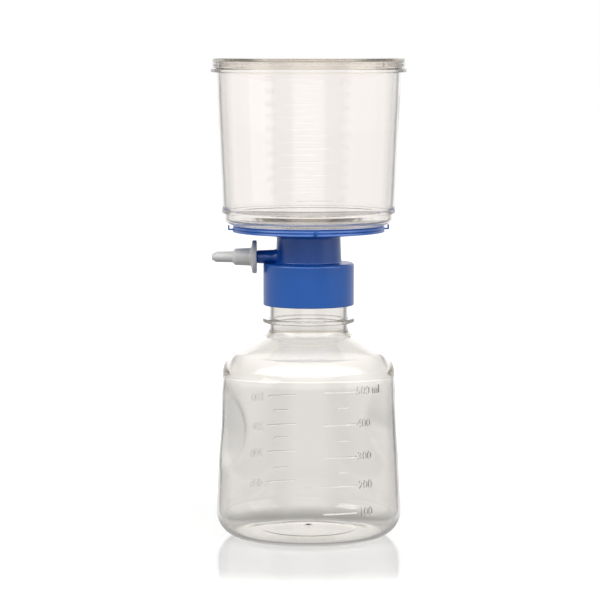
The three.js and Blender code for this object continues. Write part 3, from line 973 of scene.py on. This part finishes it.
def tubing_adapter(material):
    low, high = extent("tubing_adapter")
    face_x, nose_x = -high.x, -low.x
    flange_r = high.y
    socket_r = ARM_SPIGOT_R + ADAPTER_FIT
    body_x = face_x + ADAPTER_BODY_LENGTH
    socket_x = ARM_SHOULDER_X + ARM_SPIGOT_LENGTH + SEAT_GAP
    outline = rounded(
        [
            (socket_r, face_x, 0.3),
            (flange_r, face_x, 0.5),
            (flange_r, face_x + ADAPTER_FLANGE_RIM, 0.7),
            (ADAPTER_BODY_R, face_x + ADAPTER_FLANGE_ROOT, 0.9),
            (ADAPTER_BODY_END_R, body_x, 0.5),
            (NOZZLE_R, body_x + ADAPTER_STEP_LENGTH, 0.5),
            (NOZZLE_END_R, nose_x - NOSE_LENGTH, 0.5),
            (NOSE_TIP_R, nose_x, 0.3),
            (NOZZLE_BORE_R, nose_x, 0.15),
            (NOZZLE_BORE_R, socket_x, 0.1),
            (socket_r, socket_x, 0.2),
        ]
    )
    adapter = laid_along_arm(turned("hose_adapter", outline, SMALL_SEGMENTS, material))
    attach(adapter, "adapter")
    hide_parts("tubing_adapter")


# ---- membrane -----------------------------------------------------------------------------------


def membrane(material):
    low, high = extent("membrane")
    outline = rounded([(0, low.z), (high.x, low.z, 0.1), (high.x, high.z, 0.1), (0, high.z)])
    disc = turned("membrane_disc", outline, BODY_SEGMENTS, material)
    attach(disc, "filter_head")
    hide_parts("membrane")


# ---- upper chamber ------------------------------------------------------------------------------


def chamber_wall():
    """The outer radius of the tapered wall as a function of height."""
    low, high = extent("upper_chamber")
    bead_top = low.z + FOOT_HEIGHT + BEAD_HEIGHT
    rim_bottom = high.z - RIM_DROP - RIM_THICKNESS
    slope = (CHAMBER_TOP_R - CHAMBER_BOTTOM_R) / (rim_bottom - bead_top)
    return lambda height: CHAMBER_BOTTOM_R + slope * (height - bead_top)


def chamber_marks(material, wall_r):
    """Two faint scales of 25 mL steps, at the front and at the back."""
    span = CHAMBER_SCALE_TOP - CHAMBER_SCALE_BOTTOM
    marks = []
    for i, volume in enumerate(CHAMBER_VOLUMES):
        height = CHAMBER_SCALE_BOTTOM + span * i / (len(CHAMBER_VOLUMES) - 1)
        labelled = volume % CHAMBER_LABELLED == 0
        for side in CHAMBER_SCALE_AZIMUTHS:
            start, length = CHAMBER_LONG_LINE if labelled else CHAMBER_SHORT_LINE
            size = (CHAMBER_MARK_WIDTH, CHAMBER_MARK_PROUD)
            marks.append(mark_line(material, side + start, length, height, wall_r, *size))
            if labelled:
                place = (side + CHAMBER_LABEL, height, wall_r, CHAMBER_MARK_PROUD)
                marks.append(mark_text(material, f"{volume}", CHAMBER_LABEL_SIZE, *place))
    return merged("marks", marks)


def upper_chamber(material):
    low, high = extent("upper_chamber")
    bead_bottom = low.z + FOOT_HEIGHT
    bead_top = bead_bottom + BEAD_HEIGHT
    rim_top = high.z - RIM_DROP
    rim_bottom = rim_top - RIM_THICKNESS
    opening_r = extent("membrane")[1].x - MEMBRANE_CLAMP
    ledge_z = bead_bottom + FOOT_LEDGE
    foot_bore_r = FOOT_R - CHAMBER_WALL
    wall_r = chamber_wall()
    outline = rounded(
        [
            (opening_r, low.z, 0.3),
            (WELD_INNER_R, low.z, 0.05),
            (WELD_INNER_R, low.z - WELD_DEPTH, 0.05),
            (WELD_OUTER_R, low.z - WELD_DEPTH, 0.2),
            (WELD_OUTER_R, low.z, 0.05),
            (FOOT_R, low.z, FOOT_CORNER_R),
            (FOOT_R, bead_bottom, 0.4),
            (BEAD_R, bead_bottom, 0.3),
            (BEAD_R, bead_bottom + BEAD_FLAT, 0.8),
            (wall_r(bead_top), bead_top, BEAD_FADE_R),
            (wall_r(rim_bottom), rim_bottom, 0.3),
            (high.x, rim_bottom, 0.5),
            (high.x, rim_top, 0.5),
            (CHAMBER_LIP_R, rim_top, 0.3),
            (CHAMBER_LIP_R, high.z, 0.4),
            (wall_r(high.z) - CHAMBER_WALL, high.z, 0.4),
            (wall_r(ledge_z) - CHAMBER_WALL, ledge_z, 0.2),
            (foot_bore_r, ledge_z, 0.3),
            (foot_bore_r, low.z + CHAMBER_FLOOR, FOOT_CORNER_R - CHAMBER_FLOOR),
            (opening_r, low.z + CHAMBER_FLOOR, 0.3),
        ],
        steps=6,
    )
    chamber = turned("chamber_shell", outline, BODY_SEGMENTS, material)
    joined(chamber, chamber_marks(material, wall_r))
    crisp_marks(chamber, bead_top + 2, rim_bottom - 1, CHAMBER_SECTORS)
    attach(chamber, "filter_head")
    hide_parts("upper_chamber")


# ---- lid ----------------------------------------------------------------------------------------


def lid(material):
    low, high = extent("lid")
    lid_r = high.x - LID_BEAD
    bore_r = CHAMBER_LIP_R + LID_FIT
    underside = high.z - LID_THICKNESS
    bead_z = high.z - LID_BEAD_DROP
    outline = rounded(
        [
            (0, underside),
            (bore_r, underside, 0.5),
            (bore_r, low.z, 0.2),
            (lid_r, low.z, 0.3),
            (lid_r, bead_z - 2 * LID_BEAD, 0.3),
            (lid_r + LID_BEAD, bead_z - LID_BEAD, 0.3),
            (lid_r + LID_BEAD, bead_z + LID_BEAD, 0.3),
            (lid_r, bead_z + 2 * LID_BEAD, 0.3),
            (lid_r, high.z, LID_EDGE_R),
            (0, high.z),
        ]
    )
    half_width = LID_RIB_WIDTH / 2 / bore_r

    def reshape(radii, height, angles):
        if abs(radii[0] - bore_r) > 0.01:
            return radii
        pitch = 2 * math.pi / LID_RIB_COUNT
        first = math.radians(LID_RIB_TURN) - math.pi / 2
        away = np.abs((angles - first + pitch / 2) % pitch - pitch / 2)
        rise = np.clip(1.5 - away / half_width, 0, 1)
        return radii - LID_RIB_DEPTH * rise

    cover = turned("lid_cover", outline, LID_SEGMENTS, material, reshape)
    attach(cover, "filter_head")
    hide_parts("lid")


# ---- floor, light and camera --------------------------------------------------------------------

# A ramp is (start, end, value before it, value after it). Along the floor it counts metres from
# the middle, and in the world it counts the height or the side of a direction of length 1.

FLOOR_SIZE = 6000
FLOOR_GREY = 0.36
FLOOR_ROUGHNESS = 0.06
FLOOR_IOR = 1.45
FLOOR_SEEN = (0.11, 0.17, 0.6, 1.0)
FLOOR_SHEEN = (0.11, 0.17, 1.0, 0.0)
FLOOR_FAR = (0.6, 0.8, 0.86, 0.98)
# Painted contact shadow on the floor as glass shows it: a darker ring round the bottle's foot,
# which fades out by 0.1 m from the middle.
FLOOR_SHADOW_UNDER_BOTTLE = (0.038, 0.044, 1.0, 0.15)
FLOOR_SHADOW_ROUND_BOTTLE = (0.046, 0.1, 0.5, 1.0)
# Painted shade on the floor as glass shows it: darker in front of the object, and darker to the
# sides, less so far off and in mirrored rays.
FLOOR_FRONT_SHADE = (-0.06, 0.0, 0.7, 1.0)
FLOOR_FRONT_END = (0.2, 0.5, 0.0, 1.0)
FLOOR_BESIDE = (0.05, 30.05, 0.0, 30.0)
FLOOR_SIDES_LEAST = 0.1
FLOOR_SIDES_FAR = (0.8, 1.6, 0.0, 0.3)
FLOOR_SIDES_BOUNCED = (0.0, 1.0, 0.0, 0.9)

BACKDROP_SIDES = (0.27, 0.45, 1.0)
PANELS = (0.65, 0.85, 0.0, 0.9)
BACKDROP_HEIGHTS = [
    (0.01, 0.05, 1.0, 1.32),
    (0.08, 0.16, 1.0, 0.82),
    (0.28, 0.4, 1.0, 1.2),
    (0.55, 0.85, 1.0, 0.3),
]
BACKDROP_LEAST = 0.3
MIRRORED_HEIGHTS = [(0.25, 0.5, 1.0, 0.53), (0.02, 0.14, 1.0, 1.5)]
MIRRORED_LEAST = 0.9
SOFTBOX_HEIGHTS = [(0.2, 0.35, 0.0, 4.5), (0.82, 0.97, 1.0, 0.2)]
SOFTBOX_FRONT = (0.0, -0.3, 0.0, 1.0)
AMBIENT = 0.35
RAY_BOUNCES = 32

LIT_POINT = (0, 0, 0.13)
CAMERA_PLACE = (-0.0047, -1.615, 0.2804)
CAMERA_DOWN = 5.34
CAMERA_LENS = 178.4


def edge_fade(tree, sideways, least):
    """Brightness by the sideways part of a direction, which falls to the least and rises again.

    The backdrop ends and the panels at the sides begin further out, so it is dark between them.
    That gives clear plastic its dark outlines.
    """
    backdrop = value_ramp(tree, sideways, *BACKDROP_SIDES, least)
    panels = value_ramp(tree, sideways, *PANELS)
    return maths(tree, "MAXIMUM", backdrop, panels)


def floor_through_glass(tree, axes, distance, rays):
    """How bright the floor is where glass shows it, with painted shadow and painted shade on it."""
    far = value_ramp(tree, distance, *FLOOR_FAR)
    # Painted contact shadow: darker round the bottle's foot.
    inside = value_ramp(tree, distance, *FLOOR_SHADOW_UNDER_BOTTLE)
    outside = value_ramp(tree, distance, *FLOOR_SHADOW_ROUND_BOTTLE)
    painted_contact_shadow = maths(tree, "MAXIMUM", inside, outside)
    # Painted shade to the sides.
    beside = value_ramp(tree, absolute(tree, axes.outputs["X"]), *FLOOR_BESIDE, "LINEAR")
    fade = edge_fade(tree, maths(tree, "DIVIDE", beside, distance), FLOOR_SIDES_LEAST)
    glossy, bent = rays.outputs["Is Glossy Ray"], rays.outputs["Is Transmission Ray"]
    bounced = value_ramp(tree, maths(tree, "SUBTRACT", glossy, bent), *FLOOR_SIDES_BOUNCED)
    farther = value_ramp(tree, distance, *FLOOR_SIDES_FAR)
    sides = maths(tree, "MAXIMUM", fade, farther, bounced)
    # Painted shade in front of the object.
    painted_front_shade = value_ramp(tree, axes.outputs["Y"], *FLOOR_FRONT_SHADE)
    front = maths(tree, "MAXIMUM", painted_front_shade, value_ramp(tree, distance, *FLOOR_FRONT_END))
    return maths(tree, "MULTIPLY", far, painted_contact_shadow, sides, front)


def floor_sheen(tree, distance, surface):
    """The floor's surface with a mirror image of the object near it."""
    mirror = tree.nodes.new("ShaderNodeBsdfGlossy")
    mirror.inputs["Roughness"].default_value = FLOOR_ROUGHNESS
    sheen = tree.nodes.new("ShaderNodeFresnel")
    sheen.inputs["IOR"].default_value = FLOOR_IOR
    near = value_ramp(tree, distance, *FLOOR_SHEEN)
    share = maths(tree, "MULTIPLY", near, sheen.outputs[0])
    return mixed(tree, share, surface, mirror.outputs[0])


def studio_floor():
    """A wide, pale, glossy table that renders white and still takes the object's shadow."""
    material, tree, shader, output = material_with_shader("floor", "ShaderNodeBsdfDiffuse")
    shader.inputs["Color"].default_value = (FLOOR_GREY, FLOOR_GREY, FLOOR_GREY, 1)
    place = tree.nodes.new("ShaderNodeTexCoord")
    axes = tree.nodes.new("ShaderNodeSeparateXYZ")
    tree.links.new(place.outputs["Object"], axes.inputs[0])
    rays = tree.nodes.new("ShaderNodeLightPath")
    reach = tree.nodes.new("ShaderNodeVectorMath")
    reach.operation = "LENGTH"
    tree.links.new(place.outputs["Object"], reach.inputs[0])
    distance = reach.outputs["Value"]

    seen = rays.outputs["Is Camera Ray"]
    level = value_ramp(tree, distance, *FLOOR_SEEN)
    total = tree.nodes.new("ShaderNodeAddShader")
    tree.links.new(shader.outputs[0], total.inputs[0])
    tree.links.new(glow(tree, maths(tree, "MULTIPLY", seen, level)), total.inputs[1])
    surface = floor_sheen(tree, distance, total.outputs[0])
    # What glass and mirrors show of the floor is a glow, with painted shadow and painted shade in
    # it.
    through = glow(tree, floor_through_glass(tree, axes, distance, rays))
    glossy, bent = rays.outputs["Is Glossy Ray"], rays.outputs["Is Transmission Ray"]
    indirect = maths(tree, "MAXIMUM", bent, glossy)
    tree.links.new(mixed(tree, indirect, surface, through), output.inputs["Surface"])

    low, high = -FLOOR_SIZE, FLOOR_SIZE
    corners = [(low, low, 0), (high, low, 0), (high, high, 0), (low, high, 0)]
    floor = mesh_piece("floor", corners, [(0, 1, 2, 3)], material)


def background(tree, strength=1.0):
    node = tree.nodes.new("ShaderNodeBackground")
    node.inputs["Color"].default_value = (1, 1, 1, 1)
    node.inputs["Strength"].default_value = strength
    return node


def studio_world():
    """White all round for what is seen, and shaded by direction in what glass shows and mirrors."""
    world = bpy.data.worlds.new("studio")
    bpy.context.scene.world = world
    world.use_nodes = True
    tree = world.node_tree
    tree.nodes.clear()
    output = tree.nodes.new("ShaderNodeOutputWorld")
    place = tree.nodes.new("ShaderNodeTexCoord")
    axes = tree.nodes.new("ShaderNodeSeparateXYZ")
    tree.links.new(place.outputs["Generated"], axes.inputs[0])
    rays = tree.nodes.new("ShaderNodeLightPath")
    height = axes.outputs["Z"]
    sideways = absolute(tree, axes.outputs["X"])

    ends = edge_fade(tree, sideways, BACKDROP_LEAST)
    backdrop = maths(tree, "MULTIPLY", profile(tree, height, BACKDROP_HEIGHTS), ends)
    walls = edge_fade(tree, sideways, MIRRORED_LEAST)
    walls = maths(tree, "MULTIPLY", profile(tree, height, MIRRORED_HEIGHTS), walls)
    front = value_ramp(tree, axes.outputs["Y"], *SOFTBOX_FRONT)
    softbox = maths(tree, "MULTIPLY", profile(tree, height, SOFTBOX_HEIGHTS), front)

    through, mirrored = background(tree), background(tree)
    tree.links.new(backdrop, through.inputs["Strength"])
    tree.links.new(maths(tree, "ADD", walls, softbox), mirrored.inputs["Strength"])
    shown = background(tree, AMBIENT).outputs[0]
    shown = mixed(tree, rays.outputs["Is Glossy Ray"], shown, mirrored.outputs[0])
    shown = mixed(tree, rays.outputs["Is Transmission Ray"], shown, through.outputs[0])
    shown = mixed(tree, rays.outputs["Is Camera Ray"], shown, background(tree).outputs[0])
    tree.links.new(shown, output.inputs["Surface"])


def studio_lamp(name, place, width, height, power, mirrored=True):
    """A soft panel lamp that faces the middle of the object, and may show in its surfaces."""
    light = bpy.data.lights.new(name, "AREA")
    light.shape = "RECTANGLE"
    light.size = width
    light.size_y = height
    light.energy = power
    lamp = bpy.data.objects.new(name, light)
    lamp.location = place
    lamp.visible_glossy = mirrored
    lamp.visible_transmission = mirrored
    lamp.rotation_euler = (Vector(LIT_POINT) - lamp.location).to_track_quat("-Z", "Y").to_euler()
    bpy.context.scene.collection.objects.link(lamp)


def camera():
    """A long lens, a little above the lid and looking slightly down."""
    data = bpy.data.cameras.new("camera")
    data.sensor_width = 36
    data.lens = CAMERA_LENS
    data.clip_end = 20
    view = bpy.data.objects.new("camera", data)
    view.location = CAMERA_PLACE
    view.rotation_euler = (math.radians(90 - CAMERA_DOWN), 0, 0)
    bpy.context.scene.collection.objects.link(view)
    bpy.context.scene.camera = view


# ---- the scene ----------------------------------------------------------------------------------


def main():
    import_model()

    bottle_clear = clear_plastic("bottle_clear", (0.94, 0.926, 0.905), density=30, wave=0.06)
    chamber_clear = clear_plastic("chamber_clear", (0.98, 0.958, 0.94), density=20, wave=0.04)
    lid_clear = clear_plastic("lid_clear", (0.85, 0.815, 0.77), density=20, wave=0.0)
    blue = solid_plastic("blue_plastic", (0.008, 0.11, 0.47), roughness=0.28, grain=0.25)
    natural = solid_plastic("natural_plastic", (0.72, 0.72, 0.7), roughness=0.45, grain=0.1)
    white = solid_plastic("membrane_white", (0.62, 0.62, 0.6), roughness=0.8, grain=0.5)
    foam = solid_plastic("gasket_foam", (0.75, 0.75, 0.72), roughness=0.8, grain=0.5)
    fibre = solid_plastic("plug_fibre", (0.8, 0.79, 0.76), roughness=0.95, grain=1.0)

    receiver_bottle(bottle_clear)
    neck_gasket(foam)
    support_base(blue)
    port_plug(fibre)
    tubing_adapter(natural)
    membrane(white)
    upper_chamber(chamber_clear)
    lid(lid_clear)

    studio_floor()
    studio_world()
    studio_lamp("key", (-1.9, -1.0, 1.5), width=1.2, height=1.0, power=12)
    studio_lamp("side", (2.0, -0.75, 1.0), width=1.6, height=2.0, power=8)
    studio_lamp("front", (0.1, -2.1, 2.3), width=2.2, height=1.4, power=44, mirrored=False)
    camera()
    bpy.context.scene.view_settings.view_transform = "Standard"
    bpy.context.scene.cycles.max_bounces = RAY_BOUNCES
    bpy.context.scene.cycles.transmission_bounces = RAY_BOUNCES
    bpy.context.scene.cycles.glossy_bounces = RAY_BOUNCES


main()
